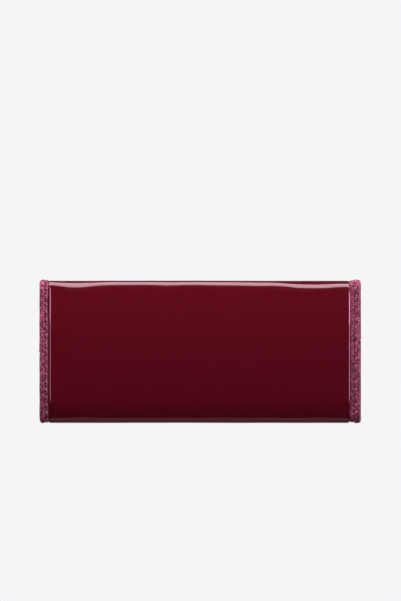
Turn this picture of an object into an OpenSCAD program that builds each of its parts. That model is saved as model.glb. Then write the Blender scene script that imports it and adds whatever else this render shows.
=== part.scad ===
// Long flap wallet. One folded outer leather makes the back, the base, the spine over the top
// and the flap. Its side edges are bound with a narrow strip, sewn through. Inside, two
// banknote pockets fan open around a zipped coin purse, and card leaves line both walls.
// Millimetres. +X runs along the wallet, +Y from the plain back to the flap, +Z up.
// The origin is the middle of the base that the wallet stands on.

/* [Outer size] */
// Width over the side bindings
wallet_w = 190; // [184:1:200]
// Height over the side bindings
wallet_h = 85; // [82:1:92]
// Height of the flap's lower edge above the base
flap_low = 20; // [16:1:24]
// Height of the front wall's top edge
front_top = 72; // [68:1:73]
// Outer radius of the folds at the back and at the flap
fold_r = 4.5; // [4.3:0.1:5]
// Outer radius of the fold under the front wall
base_r = 3.5; // [3.4:0.1:4]

/* [Leather layers] */
// Patent outer leather
leather_t = 1.2; // [1:0.1:1.3]
// Foam under the back leather
foam_t = 0.6; // [0.4:0.1:0.7]
// Stiffening board
board_t = 0.5; // [0.4:0.1:0.6]
// Inner lining
lining_t = 0.4; // [0.3:0.1:0.4]
// Card leaf
leaf_t = 0.5; // [0.4:0.1:0.5]

/* [Edge binding] */
// Thickness of the binding strip
bind_t = 0.6; // [0.5:0.1:0.6]
// Width of the strip that shows on the outer face
bind_w = 5.8; // [5:0.1:6.5]
// Height of the lap in the left strip
lap_left = 42; // [35:1:55]
// Height of the lap in the right strip
lap_right = 50; // [35:1:55]
// Distance of the stitch line from the outer edge
stitch_in = 3.5; // [3:0.1:3.6]
// Stitch length with its gap
stitch_pitch = 4.3; // [3.5:0.1:5]

/* [Pockets] */
// Clear depth of each banknote pocket
pocket_t = 4.6; // [4.4:0.1:5]
// Clear depth inside the coin purse
coin_t = 4.6; // [4.4:0.1:5]
// Height of the coin purse's walls
purse_top = 64; // [60:1:64]
// Half width of the coin purse
purse_half = 86; // [84:0.5:86]
// Step between one card leaf's top edge and the next
card_step = 10; // [8:1:11]

/* [Zip] */
// Slider's place when the zip is closed
zip_closed_x = 64; // [60:1:64]
// Tooth pitch in one row
tooth_pitch = 2.2; // [2:0.1:2.4]
// Length of the puller from its pin
puller_l = 15; // [10:0.5:15]

/* [Press stud] */
// Height of the stud above the base
stud_z = 33; // [33:1:38]
// Radius of the cap on the flap
cap_r = 6.5; // [5.5:0.1:7]

/* [Hidden] */
$fn = 48;
ARC_STEPS = 8;
FOLD_GAP = 2;      // degrees left open on each side of a fold between two bodies
FLAP_GAP = 0.3;    // between the closed flap and the front wall
LEAF_GAP = 0.1;    // pocket between two card leaves, pressed shut
CAP_PROUD = 0.5;   // cap above the flap's binding
PURSE_WALL = 0.6;
PURSE_LINING = 0.3;
REAR_LEAVES = 3;
FRONT_LEAVES = 2;
PATENT = [0.38, 0.03, 0.09];
GRAIN = [0.50, 0.18, 0.28];
SUEDE = [0.30, 0.06, 0.10];
CLOTH = [0.25, 0.05, 0.08];
BOARD = [0.72, 0.66, 0.56];
THREAD = [0.42, 0.08, 0.15];
GOLD = [0.85, 0.70, 0.42];

leaf_step = leaf_t + LEAF_GAP;
purse_t = coin_t + 2 * (PURSE_WALL + PURSE_LINING);
back_wall_t = leather_t + foam_t + board_t + lining_t;
thin_wall_t = leather_t + board_t + lining_t;
total_t = bind_t + back_wall_t + REAR_LEAVES * leaf_step + 2 * pocket_t + purse_t
        + FRONT_LEAVES * leaf_step + thin_wall_t + bind_t + FLAP_GAP
        + bind_t + thin_wall_t + bind_t + CAP_PROUD;

// Faces of the stack, from the back to the flap
back_out = -total_t / 2 + bind_t;
back_in = back_out + back_wall_t;
rear_cards = back_in + REAR_LEAVES * leaf_step;
purse_rear = rear_cards + pocket_t;
purse_front = purse_rear + purse_t;
purse_mid = (purse_rear + purse_front) / 2;
front_cards = purse_front + pocket_t;
front_in = front_cards + FRONT_LEAVES * leaf_step;
front_out = front_in + thin_wall_t;
flap_in = front_out + bind_t + FLAP_GAP + bind_t;
flap_out = flap_in + thin_wall_t;

half_w = wallet_w / 2;
edge_x = half_w - bind_t;           // the leather's cut edge, inside the binding
face_x = half_w - bind_w;           // the binding's inner edge on the outer face
board_x = face_x - 1.2;
leaf_x = 85.5;
leather_low = bind_t;
leather_top = wallet_h - bind_t;
base_in = leather_low + leather_t + lining_t;

// Centres of the four folds, as [y, z]
heel = [back_out + fold_r, leather_low + fold_r];
nape = [back_out + fold_r, leather_top - fold_r];
brow = [flap_out - fold_r, leather_top - fold_r];
toe = [front_out - base_r, leather_low + base_r];

tape_z = purse_top;
TAPE_T = 0.5;
TOOTH_L = 2.1;
TOOTH_W = 1.0;
TOOTH_H = 1.6;
tape_in = purse_mid - 1.6;          // the tape's inner edge, where its teeth start
teeth_z = tape_z + TAPE_T / 2 - TOOTH_H / 2;
zip_start = -66;
plate_top = teeth_z + TOOTH_H + 0.1;
pin_z = plate_top + 1.75;
PIN_R = 0.5;
PIN_CLEAR = 0.1;

// ---- Outlines in the Y-Z plane. Depth d is measured inwards from the leather's outer face.

function arc(centre, r, a0, a1) =
    [for (i = [0:ARC_STEPS]) let (a = a0 + (a1 - a0) * i / ARC_STEPS)
        centre + r * [cos(a), sin(a)]];
function backwards(points) = [for (i = [len(points) - 1:-1:0]) points[i]];

function base_run(d) = concat(arc(toe, base_r - d, 315 - FOLD_GAP, 270),
                              arc(heel, fold_r - d, 270, 180));
function nape_run(d) = arc(nape, fold_r - d, 180, 135 + FOLD_GAP);
function spine_run(d) = concat(arc(nape, fold_r - d, 135 - FOLD_GAP, 90),
                               arc(brow, fold_r - d, 90, 45 + FOLD_GAP));
function flap_run(d, low) = concat(arc(brow, fold_r - d, 45 - FOLD_GAP, 0),
                                   [[flap_out - d, low]]);
function front_run(d, top) = concat([[front_out - d, top]],
                                    arc(toe, base_r - d, 360, 315 + FOLD_GAP));

// A Y-Z outline made solid between two X positions
module along_x(points, x0, x1) {
    translate([x0, 0, 0]) rotate([90, 0, 90]) linear_extrude(x1 - x0) polygon(points);
}

// A layer between two runs of the same stretch
module layer(outer, inner, x0, x1) {
    along_x(concat(outer, backwards(inner)), x0, x1);
}

module block(x0, x1, y0, y1, z0, z1) {
    translate([x0, y0, z0]) cube([x1 - x0, y1 - y0, z1 - z0]);
}

// A layer that is the same on the left and right ends, for one side (-1 or 1)
module on_side(side) {
    mirror([side < 0 ? 1 : 0, 0, 0]) children();
}

// ---- Back, base and spine

module back_leather() {
    color(PATENT) layer(concat(base_run(0), nape_run(0)),
                        concat(base_run(leather_t), nape_run(leather_t)), -edge_x, edge_x);
}

module back_foam() {
    y = back_out + leather_t;
    color(CLOTH) block(-board_x, board_x, y, y + foam_t, heel[1], nape[1]);
}

module back_board() {
    y = back_out + leather_t + foam_t;
    color(BOARD) block(-board_x, board_x, y, y + board_t, heel[1], nape[1]);
}

module back_lining() {
    color(CLOTH) block(-edge_x, edge_x, back_in - lining_t, back_in, heel[1], nape[1]);
}

module base_lining() {
    z = leather_low + leather_t;
    color(CLOTH) block(-face_x, face_x, heel[0], toe[0], z, z + lining_t);
}

module rear_card_leaf(n) {
    y = back_in + (n - 1) * leaf_step;
    top = 72 - (n - 1) * card_step;
    color(SUEDE) block(-leaf_x, leaf_x, y, y + leaf_t, heel[1], top);
}

// Folded side wall: a strip that zigzags from the back to the front, in plan
module gusset(side) {
    out_x = half_w - 2.2;
    in_x = face_x - 4.2;
    w = 0.7;
    arm = bind_t + 0.1;
    path = [[out_x, back_in + arm],
            [in_x, (rear_cards + purse_rear) / 2],
            [out_x, purse_mid],
            [in_x, (purse_front + front_cards) / 2],
            [out_x, front_in - arm]];
    color(GRAIN) on_side(side)
        translate([0, 0, base_in + 0.4])
            linear_extrude(front_top - base_in - 2)
                polygon(concat([for (p = path) p + [w, 0]],
                               backwards([for (p = path) p - [w, 0]])));
}

// U-shaped strip over the side edge: outer arm, web and inner arm
module binding(side, outer, skin, inner, arm_y, arm_z) {
    color(GRAIN) on_side(side) union() {
        layer(outer, skin, face_x, half_w);
        layer(outer, inner, edge_x, half_w);
        block(face_x + 0.8, half_w, arm_y[0], arm_y[1], arm_z[0], arm_z[1]);
    }
}

module stitch_groove(side, y, z0, z1) {
    on_side(side) block(edge_x + bind_t - stitch_in - 0.5, edge_x + bind_t - stitch_in + 0.5,
                        y - 0.3, y + 0.3, z0, z1);
}

module binding_back_lower(side, lap) {
    end = lap - 0.1;
    difference() {
        binding(side, concat(base_run(-bind_t), [[back_out - bind_t, end]]),
                concat(base_run(0), [[back_out, end]]),
                concat(base_run(back_wall_t), [[back_out + back_wall_t, end]]),
                [back_in, back_in + bind_t], [heel[1], end]);
        stitch_groove(side, back_out - bind_t, heel[1], end);
    }
}

module binding_back_upper(side, lap) {
    start = lap + 0.1;
    difference() {
        binding(side, concat([[back_out - bind_t, start]], nape_run(-bind_t)),
                concat([[back_out, start]], nape_run(0)),
                concat([[back_out + back_wall_t, start]], nape_run(back_wall_t)),
                [back_in, back_in + bind_t], [start, nape[1]]);
        stitch_groove(side, back_out - bind_t, start, nape[1]);
    }
}

// One row of slanted stitches lying in a groove on a vertical face. out is the way the face looks.
module stitch_row(x, face_y, out, z0, z1) {
    r = 0.16;
    count = floor((z1 - z0) / stitch_pitch);
    for (i = [0:count - 1])
        translate([x, face_y - out * (0.3 - r), z0 + (i + 0.5) * stitch_pitch])
            rotate([0, 5, 0]) cylinder(r = r, h = stitch_pitch * 0.78, center = true, $fn = 16);
}

module stitch_rows(face_y, out, z0, z1) {
    for (side = [-1, 1])
        stitch_row(side * (half_w - stitch_in), face_y, out, z0, z1);
}

module back_stitching() {
    color(THREAD) stitch_rows(back_out - bind_t, -1, heel[1], nape[1]);
}

module spine_leather() {
    color(PATENT) layer(spine_run(0), spine_run(leather_t), -edge_x, edge_x);
}

module spine_lining() {
    z = leather_top - leather_t - lining_t;
    color(CLOTH) block(-edge_x, edge_x, nape[0], brow[0], z, z + lining_t);
}

module binding_spine(side) {
    z = leather_top - leather_t - lining_t;
    color(GRAIN) on_side(side) union() {
        layer(spine_run(-bind_t), spine_run(0), face_x, half_w);
        layer(spine_run(-bind_t), spine_run(leather_t + lining_t), edge_x, half_w);
        block(face_x + 0.8, half_w, nape[0], brow[0], z - bind_t, z);
    }
}

// ---- Flap

module snap_hole(r, y) {
    translate([0, y, stud_z]) rotate([-90, 0, 0]) cylinder(r = r, h = 6, center = true);
}

module flap_leather() {
    low = flap_low + bind_t;
    color(PATENT) difference() {
        layer(flap_run(0, low), flap_run(leather_t, low), -edge_x, edge_x);
        snap_hole(1.5, flap_out);
    }
}

module flap_board() {
    y = flap_out - leather_t - board_t;
    color(BOARD) difference() {
        block(-board_x, board_x, y, y + board_t, flap_low + bind_w, brow[1]);
        snap_hole(5.1, flap_out);
    }
}

module flap_lining() {
    color(CLOTH) difference() {
        block(-edge_x, edge_x, flap_in, flap_in + lining_t, flap_low + bind_t, brow[1]);
        snap_hole(5.1, flap_out);
    }
}

module binding_flap(side) {
    low = flap_low;
    color(GRAIN) difference() {
        union() {
            binding(side, flap_run(-bind_t, low), flap_run(0, low), flap_run(thin_wall_t, low),
                    [flap_in - bind_t, flap_in], [low, brow[1]]);
            on_side(side) block(face_x, half_w, flap_in - bind_t, flap_out + bind_t,
                                low, low + bind_t);
        }
        stitch_groove(side, flap_out + bind_t, low + 3, brow[1]);
    }
}

module binding_flap_edge() {
    x = face_x - 0.1;
    top = flap_low + bind_w;
    color(GRAIN) difference() {
        block(-x, x, flap_in - bind_t, flap_out + bind_t, flap_low, top);
        block(-x - 1, x + 1, flap_in, flap_out, flap_low + bind_t, top + 1);
        block(-x - 1, x + 1, flap_out + bind_t - 0.3, flap_out + bind_t + 1,
              flap_low + stitch_in - 0.5, flap_low + stitch_in + 0.5);
    }
}

// Stitches along a horizontal edge
module edge_stitches(z, face_y, out) {
    r = 0.16;
    count = floor(2 * (face_x - 2) / stitch_pitch);
    for (i = [0:count - 1])
        translate([(i + 0.5 - count / 2) * stitch_pitch, face_y - out * (0.3 - r), z])
            rotate([0, 95, 0]) cylinder(r = r, h = stitch_pitch * 0.78, center = true, $fn = 16);
}

module flap_stitching() {
    color(THREAD) {
        stitch_rows(flap_out + bind_t, 1, flap_low + bind_w, brow[1]);
        edge_stitches(flap_low + stitch_in, flap_out + bind_t, 1);
    }
}

// Round piece on the stud's axis, from y0 to y1
module on_stud(r, y0, y1, r2 = -1) {
    translate([0, y0, stud_z]) rotate([-90, 0, 0])
        cylinder(r1 = r, r2 = r2 < 0 ? r : r2, h = y1 - y0);
}

module snap_cap() {
    top = flap_out + bind_t + CAP_PROUD;
    rim = flap_out + 0.4;
    color(GOLD) union() {
        on_stud(cap_r, flap_out, rim);
        on_stud(cap_r, rim, top, cap_r - 1.8);
        on_stud(1.4, flap_out - leather_t, flap_out + 0.1);
    }
}

module snap_socket() {
    y0 = flap_in - 0.15;
    y1 = flap_out - leather_t;
    color(GOLD) difference() {
        on_stud(5, y0, y1);
        on_stud(2.8, y0 - 1, y1 - 0.2);
    }
}

// ---- Front wall

module front_leather() {
    top = front_top - bind_t;
    color(PATENT) difference() {
        layer(front_run(0, top), front_run(leather_t, top), -edge_x, edge_x);
        snap_hole(1.15, front_out);
    }
}

module front_board() {
    y = front_in + lining_t;
    color(BOARD) difference() {
        block(-board_x, board_x, y, y + board_t, toe[1] + 1, front_top - 5);
        snap_hole(1.15, y);
    }
}

module front_lining() {
    color(CLOTH) difference() {
        block(-edge_x, edge_x, front_in, front_in + lining_t, toe[1] + 1, front_top - bind_t);
        snap_hole(4.2, front_in - 1);
    }
}

module front_card_leaf(n) {
    y = front_in - n * leaf_step;
    top = 64 - (n - 1) * card_step;
    color(SUEDE) block(-leaf_x, leaf_x, y + LEAF_GAP, y + leaf_step, toe[1] + 2, top);
}

module binding_front(side) {
    top = front_top;
    color(GRAIN) difference() {
        union() {
            binding(side, front_run(-bind_t, top), front_run(0, top), front_run(thin_wall_t, top),
                    [front_in - bind_t, front_in], [toe[1] + 1, top]);
            on_side(side) block(face_x, half_w, front_in - bind_t, front_out + bind_t,
                                top - bind_t, top);
        }
        stitch_groove(side, front_out + bind_t, toe[1], top - 3);
    }
}

module binding_front_top() {
    x = face_x - 0.1;
    low = front_top - 5;
    color(GRAIN) difference() {
        block(-x, x, front_in - bind_t, front_out + bind_t, low, front_top);
        block(-x - 1, x + 1, front_in, front_out, low - 1, front_top - bind_t);
        block(-x - 1, x + 1, front_out + bind_t - 0.3, front_out + bind_t + 1,
              front_top - stitch_in - 0.5, front_top - stitch_in + 0.5);
    }
}

module front_stitching() {
    color(THREAD) {
        stitch_rows(front_out + bind_t, 1, toe[1] + 1, front_top - 5);
        edge_stitches(front_top - stitch_in, front_out + bind_t, 1);
    }
}

module snap_stud() {
    head = flap_out - leather_t - 0.3;
    color(GOLD) union() {
        on_stud(4.5, front_out, front_out + 0.4);
        on_stud(1.7, front_out, head);
        on_stud(2, head - 0.8, head);
    }
}

module snap_post() {
    color(GOLD) union() {
        on_stud(4, front_in, front_in + lining_t);
        on_stud(1, front_in, front_out);
    }
}

// ---- Coin purse

module purse_wall(y) {
    color(SUEDE) block(-purse_half, purse_half, y, y + PURSE_WALL, base_in + 1, purse_top);
}

module purse_base() {
    color(SUEDE) block(-purse_half, purse_half, purse_rear + PURSE_WALL,
                       purse_front - PURSE_WALL, base_in + 1, base_in + 1 + PURSE_WALL);
}

module purse_end(side) {
    color(SUEDE) on_side(side)
        block(purse_half - PURSE_WALL, purse_half, purse_rear + PURSE_WALL,
              purse_front - PURSE_WALL, base_in + 1 + PURSE_WALL, purse_top);
}

module purse_lining() {
    x = purse_half - PURSE_WALL;
    y0 = purse_rear + PURSE_WALL;
    y1 = purse_front - PURSE_WALL;
    z0 = base_in + 1 + PURSE_WALL;
    color(CLOTH) difference() {
        block(-x, x, y0, y1, z0, purse_top - 3);
        block(-x + PURSE_LINING, x - PURSE_LINING, y0 + PURSE_LINING, y1 - PURSE_LINING,
              z0 + PURSE_LINING, purse_top);
    }
}

// The two halves of the zip mirror each other about the purse's middle
module zip_half(front) {
    translate([0, purse_mid, 0]) mirror([0, front ? 1 : 0, 0])
        translate([0, -purse_mid, 0]) children();
}

module zip_tape(front) {
    color(CLOTH) zip_half(front)
        block(-purse_half, purse_half, purse_rear, tape_in, tape_z, tape_z + TAPE_T);
}

module zip_teeth(front) {
    shift = front ? tooth_pitch / 2 : 0;
    count = floor((zip_closed_x - zip_start) / tooth_pitch);
    color(GOLD) zip_half(front)
        for (i = [0:count - 1])
            translate([zip_start + shift + i * tooth_pitch, tape_in, teeth_z])
                cube([TOOTH_W, TOOTH_L, TOOTH_H]);
}

module zip_top_stop() {
    for (front = [false, true])
        color(GOLD) zip_half(front)
            block(zip_closed_x + 4.5, zip_closed_x + 6.5, tape_in, tape_in + 1.2,
                  teeth_z, teeth_z + TOOTH_H);
}

module zip_bottom_stop() {
    color(GOLD) block(zip_start - 3.5, zip_start - 1, tape_in, 2 * purse_mid - tape_in,
                      teeth_z, teeth_z + TOOTH_H);
}

module slider_plate(half_t, z0, z1) {
    x0 = zip_closed_x - 3.6;
    translate([0, 0, z0]) linear_extrude(z1 - z0)
        polygon([[x0, purse_mid - half_t * 0.75], [x0 + 2.5, purse_mid - half_t],
                 [x0 + 7.6, purse_mid - half_t], [x0 + 7.6, purse_mid + half_t],
                 [x0 + 2.5, purse_mid + half_t], [x0, purse_mid + half_t * 0.75]]);
}

module zip_slider() {
    bail = 0.7;
    color(GOLD) difference() {
        union() {
            slider_plate(2.7, plate_top, plate_top + 0.8);
            slider_plate(2.1, teeth_z - 0.9, teeth_z - 0.1);
            block(zip_closed_x + 2.2, zip_closed_x + 3.8, purse_mid - 0.35, purse_mid + 0.35,
                  teeth_z - 0.5, plate_top + 0.4);
            block(zip_closed_x - 1.5, zip_closed_x + 1.5, purse_mid - bail, purse_mid + bail,
                  plate_top + 0.4, pin_z + 1.1);
        }
        translate([zip_closed_x, purse_mid, pin_z]) rotate([90, 0, 0])
            cylinder(r = PIN_R + PIN_CLEAR, h = 4, center = true);
    }
}

module zip_puller() {
    arm_in = 0.8;
    arm_out = 1.5;
    z0 = pin_z - 0.6;
    z1 = pin_z + 0.6;
    tip = zip_closed_x - puller_l;
    color(GOLD) union() {
        translate([zip_closed_x, purse_mid, pin_z]) rotate([90, 0, 0])
            cylinder(r = PIN_R, h = 2 * arm_out, center = true);
        for (s = [-1, 1])
            translate([0, s * (arm_in + arm_out) / 2, 0])
                block(zip_closed_x - 4, zip_closed_x + 0.7, purse_mid - (arm_out - arm_in) / 2,
                      purse_mid + (arm_out - arm_in) / 2, z0, z1);
        difference() {
            block(tip, zip_closed_x - 3, purse_mid - 2, purse_mid + 2, z0, z1);
            translate([tip + 3, purse_mid, z0 - 1]) cylinder(r = 1, h = 4);
        }
    }
}

// ---- One named node at a time

back_leather();
back_foam();
back_board();
back_lining();
base_lining();
rear_card_leaf(1);  // rear_card_leaf_1
rear_card_leaf(2);  // rear_card_leaf_2
rear_card_leaf(3);  // rear_card_leaf_3
gusset(-1);  // gusset_left
gusset(1);  // gusset_right
binding_back_upper(-1, lap_left);  // binding_back_upper_left
binding_back_upper(1, lap_right);  // binding_back_upper_right
binding_back_lower(-1, lap_left);  // binding_back_lower_left
binding_back_lower(1, lap_right);  // binding_back_lower_right
back_stitching();
spine_leather();
spine_lining();
binding_spine(-1);  // binding_spine_left
binding_spine(1);  // binding_spine_right
flap_leather();
flap_board();
flap_lining();
binding_flap(-1);  // binding_flap_left
binding_flap(1);  // binding_flap_right
binding_flap_edge();
flap_stitching();
snap_cap();
snap_socket();
front_leather();
front_board();
front_lining();
front_card_leaf(1);  // front_card_leaf_1
front_card_leaf(2);  // front_card_leaf_2
binding_front(-1);  // binding_front_left
binding_front(1);  // binding_front_right
binding_front_top();
front_stitching();
snap_stud();
snap_post();
purse_wall(purse_rear);  // purse_rear_wall
purse_wall(purse_front - PURSE_WALL);  // purse_front_wall
purse_base();
purse_end(-1);  // purse_end_left
purse_end(1);  // purse_end_right
purse_lining();
zip_tape(false);  // zip_tape_rear
zip_tape(true);  // zip_tape_front
zip_teeth(false);  // zip_teeth_rear
zip_teeth(true);  // zip_teeth_front
zip_top_stop();
zip_bottom_stop();
zip_slider();
zip_puller();
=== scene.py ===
"""Long flap wallet in burgundy patent leather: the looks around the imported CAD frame.

Shapes are worked out in millimetres in the frame's axes and become metres in solid_from() and merged().
"""
import math

import bmesh
import bpy
import numpy as np
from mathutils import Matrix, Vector


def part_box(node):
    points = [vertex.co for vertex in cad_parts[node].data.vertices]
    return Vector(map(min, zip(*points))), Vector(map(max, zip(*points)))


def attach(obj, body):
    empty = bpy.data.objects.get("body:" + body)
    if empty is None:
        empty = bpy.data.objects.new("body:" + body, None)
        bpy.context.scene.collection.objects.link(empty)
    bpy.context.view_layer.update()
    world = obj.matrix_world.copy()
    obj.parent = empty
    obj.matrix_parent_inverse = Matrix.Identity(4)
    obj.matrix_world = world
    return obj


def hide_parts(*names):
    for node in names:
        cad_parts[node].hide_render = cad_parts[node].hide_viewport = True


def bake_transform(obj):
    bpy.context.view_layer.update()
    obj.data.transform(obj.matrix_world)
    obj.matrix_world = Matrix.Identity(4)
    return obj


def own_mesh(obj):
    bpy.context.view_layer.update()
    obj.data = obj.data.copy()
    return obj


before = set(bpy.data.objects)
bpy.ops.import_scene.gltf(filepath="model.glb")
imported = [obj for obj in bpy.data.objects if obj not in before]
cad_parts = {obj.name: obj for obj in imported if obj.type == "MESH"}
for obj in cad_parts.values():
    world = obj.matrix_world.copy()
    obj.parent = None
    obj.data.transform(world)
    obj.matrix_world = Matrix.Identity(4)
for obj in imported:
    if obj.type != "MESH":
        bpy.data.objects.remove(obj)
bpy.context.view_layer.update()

# ---------------------------------------------------------------- sizes from the frame, in mm


def corners(node):
    low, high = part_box(node)
    return np.array(low) * 1000.0, np.array(high) * 1000.0


back_low, back_high = corners("back_leather")

HALF_W = corners("binding_back_lower_right")[1][0]
FACE_X = corners("binding_back_lower_right")[0][0]      # the binding's inner edge
EDGE_X = back_high[0]
BACK_Y = back_low[1]
LOW_Z = back_low[2]
TOP_Z = corners("spine_leather")[1][2]
FLAP_Y = corners("flap_leather")[1][1]
FRONT_Y = corners("front_leather")[1][1]
BACK_IN = corners("back_lining")[1][1]
FLAP_IN = corners("flap_lining")[0][1]
FRONT_IN = corners("front_lining")[0][1]
LAP = {-1: corners("binding_back_lower_left")[1][2], 1: corners("binding_back_lower_right")[1][2]}
FLAP_LOW = corners("binding_flap_edge")[0][2]
FRONT_TOP = corners("binding_front_top")[1][2]
FOLD_R = 4.5                       # the folds at the heel, nape and brow
BASE_R = 3.5                       # the front's bottom fold
LEATHER_T = 1.2
LINING_T = 0.4
BACK_T = BACK_IN - BACK_Y
WALL_T = FLAP_Y - FLAP_IN
SPINE_T = LEATHER_T + LINING_T

# The back's two bindings differ: left is -1 and right is 1, and widths run in from the outer edge.
VISIBLE = {-1: 5.15, 1: 6.25}      # the strip's width on the back
STITCH_AT = {-1: 3.6, 1: 3.4}      # the groove and holes of the stitch line
THREAD_AT = {-1: 4.15, 1: 2.75}    # the thread, which lies against one side of its groove
THREAD_LIFT = {-1: 0.24, 1: 0.56}  # the thread's middle over the leather
SWELL = {-1: 0.0, 1: 0.22}         # how far the grained edge stands out past the strip's own width
STITCH_IN = 3.4                    # the stitch line on the flap and the front
STITCH_PITCH = 4.5
STITCH_LENGTH = 2.5
STITCH_R = 0.34
STITCH_LEAN = 0.26
HOLE_REACH = 1.2                   # from a stitch's middle to the hole at each end

HEEL = np.array([BACK_Y + FOLD_R, LOW_Z + FOLD_R])
NAPE = np.array([BACK_Y + FOLD_R, TOP_Z - FOLD_R])
BROW = np.array([FLAP_Y - FOLD_R, TOP_Z - FOLD_R])
TOE = np.array([FRONT_Y - BASE_R, LOW_Z + BASE_R])
SPINE_MID = (NAPE[0] + BROW[0]) / 2
BASE_MID = (HEEL[0] + TOE[0]) / 2

# ---------------------------------------------------------------- runs along the folded leather
# A run is rows of [y, z, normal y, normal z, distance], clockwise seen from +X.


def straight(p, q, step):
    p, q = np.array(p, float), np.array(q, float)
    length = np.linalg.norm(q - p)
    count = max(1, int(round(length / step)))
    t = np.linspace(0, 1, count + 1)
    d = (q - p) / length
    rows = np.zeros((count + 1, 5))
    rows[:, 0:2] = p + np.outer(t, q - p)
    rows[:, 2:4] = (-d[1], d[0])
    rows[:, 4] = t * length
    return rows


def bend(centre, radius, a0, a1, step):
    span = abs(math.radians(a1 - a0)) * radius
    count = max(2, int(round(span / step)))
    t = np.linspace(0, 1, count + 1)
    a = np.radians(a0 + (a1 - a0) * t)
    rows = np.zeros((count + 1, 5))
    rows[:, 2] = np.cos(a)
    rows[:, 3] = np.sin(a)
    rows[:, 0:2] = centre + radius * rows[:, 2:4]
    rows[:, 4] = t * span
    return rows


def joined(*legs):
    out = legs[0].copy()
    for leg in legs[1:]:
        leg = leg[1:].copy()
        leg[:, 4] += out[-1, 4]
        out = np.vstack([out, leg])
    return out


def back_run(flat, curve):
    return joined(
        straight((BASE_MID, LOW_Z), (HEEL[0], LOW_Z), flat),
        bend(HEEL, FOLD_R, 270, 180, curve),
        straight((BACK_Y, HEEL[1]), (BACK_Y, NAPE[1]), flat),
        bend(NAPE, FOLD_R, 180, 90, curve),
        straight((NAPE[0], TOP_Z), (SPINE_MID, TOP_Z), flat),
    )


def flap_run(low, flat, curve):
    return joined(
        straight((SPINE_MID, TOP_Z), (BROW[0], TOP_Z), flat),
        bend(BROW, FOLD_R, 90, 0, curve),
        straight((FLAP_Y, BROW[1]), (FLAP_Y, low), flat),
    )


def front_run(top, flat, curve):
    return joined(
        straight((FRONT_Y, top), (FRONT_Y, TOE[1]), flat),
        bend(TOE, BASE_R, 360, 270, curve),
        straight((TOE[0], LOW_Z), (BASE_MID, LOW_Z), flat),
    )


# ---------------------------------------------------------------- mesh helpers


def placed(name, data):
    obj = bpy.data.objects.new(name, data)
    bpy.context.scene.collection.objects.link(obj)
    return obj


def face_outwards(mesh):
    bm = bmesh.new()
    bm.from_mesh(mesh)
    bmesh.ops.recalc_face_normals(bm, faces=bm.faces)
    bm.to_mesh(mesh)
    bm.free()


def tube_faces(rings, seg):
    """Faces over rings of `seg` points each, with both ends closed."""
    faces = []
    for i in range(rings - 1):
        for j in range(seg):
            k = (j + 1) % seg
            faces.append([i * seg + j, i * seg + k, (i + 1) * seg + k, (i + 1) * seg + j])
    faces.append(list(range(seg))[::-1])
    faces.append([(rings - 1) * seg + j for j in range(seg)])
    return faces


def solid_from(name, loops, uv, out_and_back=False, shade=None):
    """A closed mesh swept through loops[k][m] (mm), with a UV map in centimetres.

    out_and_back: a loop's second half runs back under its first, so an end closes with a strip.
    shade: one value for each point, kept on the mesh as the "grain" attribute; on the bindings it is pebble
    tone with painted shade in the creases, a painted highlight on the pebble tops and painted shade at the
    stitch holes."""
    count, around = loops.shape[:2]
    verts = (loops.reshape(-1, 3) * 0.001).astype(np.float64)
    k = np.arange(count - 1)[:, None] * around
    m = np.arange(around)[None, :]
    n = (m + 1) % around
    quads = np.stack([k + m, k + n, k + around + n, k + around + m], axis=-1).reshape(-1, 4)
    faces = quads.tolist()
    if out_and_back:
        strip = [[i, i + 1, around - 2 - i, around - 1 - i] for i in range(around // 2 - 1)]
        caps = [(0, face[::-1]) for face in strip] + [(count - 1, face) for face in strip]
    else:
        caps = [(0, list(range(around))[::-1]), (count - 1, list(range(around)))]
    mesh = bpy.data.meshes.new(name)
    mesh.from_pydata(verts.tolist(), [], faces + [[row * around + i for i in cap] for row, cap in caps])
    layer = mesh.uv_layers.new(name="map")
    u, v = uv
    uu = np.concatenate([u, u[:, :1] + (u[:, -1:] - u[:, -2:-1])], axis=1)
    vv = np.concatenate([v, v[:, :1]], axis=1)
    ki = np.repeat(np.arange(count - 1), around)
    mi = np.tile(np.arange(around), count - 1)
    coords = np.stack([
        np.stack([uu[ki, mi], vv[ki, mi]], -1), np.stack([uu[ki, mi + 1], vv[ki, mi + 1]], -1),
        np.stack([uu[ki + 1, mi + 1], vv[ki + 1, mi + 1]], -1),
        np.stack([uu[ki + 1, mi], vv[ki + 1, mi]], -1),
    ], axis=1).reshape(-1, 2)
    flat = np.zeros((len(mesh.loops), 2))
    flat[: len(coords)] = coords * 0.1
    start = len(coords)
    for row, cap in caps:
        for i in cap:
            flat[start] = (u[row, i] * 0.1, v[row, i] * 0.1)
            start += 1
    layer.data.foreach_set("uv", flat.ravel())
    if shade is not None:
        values = mesh.attributes.new("grain", "FLOAT", "POINT")
        values.data.foreach_set("value", shade.ravel().astype(np.float32))
    face_outwards(mesh)
    mesh.shade_smooth()
    return placed(name, mesh)


def sharp_edges(obj, degrees=40):
    bm = bmesh.new()
    bm.from_mesh(obj.data)
    limit = math.radians(degrees)
    for e in bm.edges:
        if len(e.link_faces) == 2 and e.calc_face_angle(0) > limit:
            e.smooth = False
    bm.to_mesh(obj.data)
    bm.free()
    return obj


def merged(name, parts):
    """Joins plain (verts, faces, uvs) triples, in mm, into one mesh object."""
    verts, faces, uvs = [], [], []
    for v, f, t in parts:
        base = len(verts)
        verts.extend((np.asarray(v) * 0.001).tolist())
        for face in f:
            faces.append([base + i for i in face])
            uvs.extend([t[i] for i in face])
    mesh = bpy.data.meshes.new(name)
    mesh.from_pydata(verts, [], faces)
    layer = mesh.uv_layers.new(name="map")
    layer.data.foreach_set("uv", (np.asarray(uvs, float) * 0.1).ravel())
    mesh.shade_smooth()
    return placed(name, mesh)


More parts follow.
